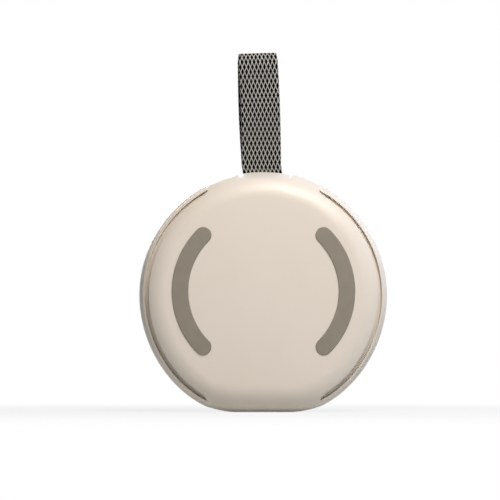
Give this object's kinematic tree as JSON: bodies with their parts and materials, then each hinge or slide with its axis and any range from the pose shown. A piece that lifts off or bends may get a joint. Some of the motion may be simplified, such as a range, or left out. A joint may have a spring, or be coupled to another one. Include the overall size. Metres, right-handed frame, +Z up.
{
  "type": "white noise sound machine",
  "caption": "Round portable sound machine on a short flat base, with a webbing carry loop, speaker grille, front keys, a volume dial and silicone rest pads.",
  "frame": {"origin": "centre of the flat base's underside, at the middle of the overall width and depth", "axes": "+Z up, towards the carry loop; -Y the front with the grille, keys and dial; +Y the back with the two rest pads; +X to the right seen from the front"},
  "size_m": [0.12, 0.048, 0.1745],
  "materials": {
    "shell_abs": "satin moulded ABS, warm beige",
    "panel_abs": "satin moulded ABS, slightly darker beige",
    "milky_diffuser": "milky translucent polycarbonate",
    "grille_metal": "matt powder coat on perforated steel",
    "speaker_cloth": "black acoustic cloth",
    "key_abs": "fine textured ABS",
    "steel": "zinc plated steel",
    "circuit_board": "glass epoxy with green solder mask",
    "white_board": "glass epoxy with white solder mask",
    "black_plastic": "moulded epoxy and nylon",
    "led_phosphor": "silicone phosphor",
    "foam": "closed cell foam",
    "black_rubber": "soft rubber",
    "spider_cloth": "resin treated cotton",
    "cone_paper": "coated paper",
    "kapton": "polyimide film",
    "copper": "enamelled copper wire",
    "ferrite": "sintered ferrite",
    "brass": "tinned brass",
    "capacitor_can": "sleeved aluminium",
    "nylon": "moulded nylon",
    "battery_foil": "laminated foil sleeve",
    "red_wire": "PVC insulation",
    "black_wire": "PVC insulation",
    "ribbon_cable": "flat flexible cable",
    "grey_silicone": "matt silicone, warm grey",
    "webbing": "woven polyester webbing in black and grey diamonds"
  },
  "bodies": {
    "housing": {"rear_shell": "shell_abs", "front_shell": "shell_abs", "front_panel": "panel_abs", "light_ring": "milky_diffuser", "speaker_grille": "grille_metal", "grille_cloth": "speaker_cloth", "dial_encoder": "steel", "key_board": "circuit_board", "key_switches": "black_plastic", "key_board_screws": "steel", "light_board": "white_board", "light_leds": "led_phosphor", "speaker_gasket": "foam", "speaker_basket": "steel", "speaker_surround": "black_rubber", "speaker_spider": "spider_cloth", "magnet_top_plate": "steel", "ring_magnet": "ferrite", "magnet_yoke": "steel", "speaker_terminals": "brass", "speaker_screws": "steel", "main_board": "circuit_board", "board_chips": "black_plastic", "board_capacitors": "capacitor_can", "board_connectors": "nylon", "board_screws": "steel", "usb_board": "circuit_board", "usb_socket": "steel", "battery_pack": "battery_foil", "battery_tape": "foam", "battery_leads": "red_wire", "speaker_leads": "black_wire", "usb_leads": "black_wire", "key_ribbon": "ribbon_cable", "case_screws": "steel", "rear_pad_left": "grey_silicone", "rear_pad_right": "grey_silicone", "strap_tail": "webbing", "strap_pin": "steel"},
    "carry_loop": {"strap_loop": "webbing"},
    "power_button": {"power_key": "key_abs"},
    "timer_button": {"timer_key": "key_abs"},
    "light_button": {"light_key": "key_abs"},
    "sound_button": {"sound_key": "key_abs"},
    "dial": {"volume_dial": "key_abs", "dial_shaft": "steel"},
    "diaphragm": {"speaker_cone": "cone_paper", "dust_cap": "cone_paper", "coil_former": "kapton", "voice_coil": "copper"}
  },
  "joints": [
    {"name": "loop_fold", "type": "hinge", "parent": "housing", "child": "carry_loop", "pos_m": [0.0002, 0.004, 0.1182], "axis": [0.999, 0, -0.0454], "range_deg": [-75, 65], "stiffness_Nm_per_rad": 0.012},
    {"name": "power_press", "type": "slide", "parent": "housing", "child": "power_button", "axis": [0, 1, 0], "range_m": [0, 0.0006], "stiffness_N_per_m": 400},
    {"name": "timer_press", "type": "slide", "parent": "housing", "child": "timer_button", "axis": [0, 1, 0], "range_m": [0, 0.0006], "stiffness_N_per_m": 400},
    {"name": "light_press", "type": "slide", "parent": "housing", "child": "light_button", "axis": [0, 1, 0], "range_m": [0, 0.0006], "stiffness_N_per_m": 400},
    {"name": "sound_press", "type": "slide", "parent": "housing", "child": "sound_button", "axis": [0, 1, 0], "range_m": [0, 0.0006], "stiffness_N_per_m": 400},
    {"name": "volume_turn", "type": "hinge", "parent": "housing", "child": "dial", "pos_m": [0, 0, 0.0201], "axis": [0, -1, 0], "range_deg": [-150, 150]},
    {"name": "cone_stroke", "type": "slide", "parent": "housing", "child": "diaphragm", "axis": [0, -1, 0], "range_m": [-0.001, 0.001], "stiffness_N_per_m": 1200}
  ]
}
